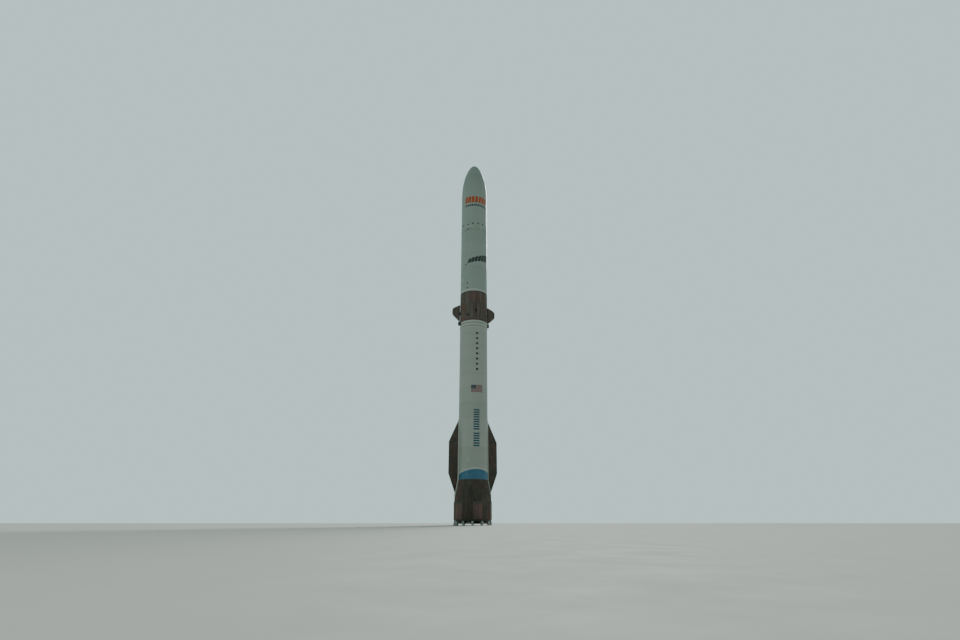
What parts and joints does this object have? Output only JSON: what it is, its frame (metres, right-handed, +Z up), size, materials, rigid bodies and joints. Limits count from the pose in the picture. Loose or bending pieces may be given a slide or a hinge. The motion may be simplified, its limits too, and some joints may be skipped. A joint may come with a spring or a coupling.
{
  "type": "two-stage space rocket, 1:10 scale model",
  "caption": "Tall white two-stage rocket with a flared dark aft skirt on feet, two strakes, steering fins, gimballed engines and a hinged two-part payload fairing.",
  "frame": {"origin": "on the ground, under the middle of the ring of feet", "axes": "+Z up to the nose, +X out along the right strake, -Y the marked front side"},
  "size_m": [1.18, 1.142, 9.8],
  "materials": {
    "white_paint": "satin white paint",
    "brown_insulation": "brown thermal protection, matt, streaked",
    "dark_insulation": "dark brown thermal protection, matt",
    "leg_panel": "red-brown panel, matt",
    "dark_metal": "dark metal, satin",
    "nozzle_metal": "heat-tinted metal",
    "bare_metal": "machined metal"
  },
  "bodies": {
    "rocket_body": {"hold_down_feet": "white_paint", "aft_skirt": "dark_insulation", "base_heat_shield": "dark_metal", "thrust_frame": "dark_metal", "leg_panel_1": "leg_panel", "leg_panel_2": "leg_panel", "leg_panel_3": "leg_panel", "leg_panel_4": "leg_panel", "leg_panel_5": "leg_panel", "leg_panel_6": "leg_panel", "strake_root_right": "white_paint", "strake_right": "dark_insulation", "strake_root_left": "white_paint", "strake_left": "dark_insulation", "first_stage_tank": "white_paint", "forward_module": "brown_insulation", "pod_right": "dark_metal", "pod_left": "dark_metal", "upper_engine_block": "dark_metal", "second_stage": "white_paint", "payload_adapter": "bare_metal"},
    "front_fairing": {"fairing_half_front": "white_paint"},
    "back_fairing": {"fairing_half_back": "white_paint"},
    "fin_body_1": {"fin_1": "brown_insulation"},
    "fin_body_2": {"fin_2": "brown_insulation"},
    "fin_body_3": {"fin_3": "brown_insulation"},
    "fin_body_4": {"fin_4": "brown_insulation"},
    "gimbal_body_1": {"gimbal_cross_1": "bare_metal"},
    "engine_body_1": {"engine_1": "nozzle_metal"},
    "gimbal_body_2": {"gimbal_cross_2": "bare_metal"},
    "engine_body_2": {"engine_2": "nozzle_metal"},
    "gimbal_body_3": {"gimbal_cross_3": "bare_metal"},
    "engine_body_3": {"engine_3": "nozzle_metal"},
    "gimbal_body_4": {"gimbal_cross_4": "bare_metal"},
    "engine_body_4": {"engine_4": "nozzle_metal"},
    "gimbal_body_5": {"gimbal_cross_5": "bare_metal"},
    "engine_body_5": {"engine_5": "nozzle_metal"},
    "gimbal_body_6": {"gimbal_cross_6": "bare_metal"},
    "engine_body_6": {"engine_6": "nozzle_metal"},
    "gimbal_body_7": {"gimbal_cross_7": "bare_metal"},
    "engine_body_7": {"engine_7": "nozzle_metal"}
  },
  "joints": [
    {"name": "front_fairing_hinge", "type": "hinge", "parent": "rocket_body", "child": "front_fairing", "pos_m": [0, -0.366, 7.57], "axis": [1, 0, 0], "range_deg": [0, 60]},
    {"name": "back_fairing_hinge", "type": "hinge", "parent": "rocket_body", "child": "back_fairing", "pos_m": [0, 0.366, 7.57], "axis": [-1, 0, 0], "range_deg": [0, 60]},
    {"name": "fin_1_steer", "type": "hinge", "parent": "rocket_body", "child": "fin_body_1", "pos_m": [0.36, 0, 5.12], "axis": [1, 0, 0], "range_deg": [-30, 30]},
    {"name": "fin_2_steer", "type": "hinge", "parent": "rocket_body", "child": "fin_body_2", "pos_m": [0, 0.36, 5.12], "axis": [0, 1, 0], "range_deg": [-30, 30]},
    {"name": "fin_3_steer", "type": "hinge", "parent": "rocket_body", "child": "fin_body_3", "pos_m": [-0.36, 0, 5.12], "axis": [-1, 0, 0], "range_deg": [-30, 30]},
    {"name": "fin_4_steer", "type": "hinge", "parent": "rocket_body", "child": "fin_body_4", "pos_m": [0, -0.36, 5.12], "axis": [0, -1, 0], "range_deg": [-30, 30]},
    {"name": "engine_1_pitch", "type": "hinge", "parent": "rocket_body", "child": "gimbal_body_1", "pos_m": [0, 0, 0.34], "axis": [0, 1, 0], "range_deg": [-5, 5]},
    {"name": "engine_1_yaw", "type": "hinge", "parent": "gimbal_body_1", "child": "engine_body_1", "pos_m": [0, 0, 0.34], "axis": [1, 0, 0], "range_deg": [-5, 5]},
    {"name": "engine_2_pitch", "type": "hinge", "parent": "rocket_body", "child": "gimbal_body_2", "pos_m": [0.27, 0, 0.34], "axis": [0, 1, 0], "range_deg": [-5, 5]},
    {"name": "engine_2_yaw", "type": "hinge", "parent": "gimbal_body_2", "child": "engine_body_2", "pos_m": [0.27, 0, 0.34], "axis": [1, 0, 0], "range_deg": [-5, 5]},
    {"name": "engine_3_pitch", "type": "hinge", "parent": "rocket_body", "child": "gimbal_body_3", "pos_m": [0.135, 0.23383, 0.34], "axis": [-0.866, 0.5, 0], "range_deg": [-5, 5]},
    {"name": "engine_3_yaw", "type": "hinge", "parent": "gimbal_body_3", "child": "engine_body_3", "pos_m": [0.135, 0.23383, 0.34], "axis": [0.5, 0.866, 0], "range_deg": [-5, 5]},
    {"name": "engine_4_pitch", "type": "hinge", "parent": "rocket_body", "child": "gimbal_body_4", "pos_m": [-0.135, 0.23383, 0.34], "axis": [-0.866, -0.5, 0], "range_deg": [-5, 5]},
    {"name": "engine_4_yaw", "type": "hinge", "parent": "gimbal_body_4", "child": "engine_body_4", "pos_m": [-0.135, 0.23383, 0.34], "axis": [-0.5, 0.866, 0], "range_deg": [-5, 5]},
    {"name": "engine_5_pitch", "type": "hinge", "parent": "rocket_body", "child": "gimbal_body_5", "pos_m": [-0.27, 0, 0.34], "axis": [0, -1, 0], "range_deg": [-5, 5]},
    {"name": "engine_5_yaw", "type": "hinge", "parent": "gimbal_body_5", "child": "engine_body_5", "pos_m": [-0.27, 0, 0.34], "axis": [-1, 0, 0], "range_deg": [-5, 5]},
    {"name": "engine_6_pitch", "type": "hinge", "parent": "rocket_body", "child": "gimbal_body_6", "pos_m": [-0.135, -0.23383, 0.34], "axis": [0.866, -0.5, 0], "range_deg": [-5, 5]},
    {"name": "engine_6_yaw", "type": "hinge", "parent": "gimbal_body_6", "child": "engine_body_6", "pos_m": [-0.135, -0.23383, 0.34], "axis": [-0.5, -0.866, 0], "range_deg": [-5, 5]},
    {"name": "engine_7_pitch", "type": "hinge", "parent": "rocket_body", "child": "gimbal_body_7", "pos_m": [0.135, -0.23383, 0.34], "axis": [0.866, 0.5, 0], "range_deg": [-5, 5]},
    {"name": "engine_7_yaw", "type": "hinge", "parent": "gimbal_body_7", "child": "engine_body_7", "pos_m": [0.135, -0.23383, 0.34], "axis": [0.5, -0.866, 0], "range_deg": [-5, 5]}
  ]
}
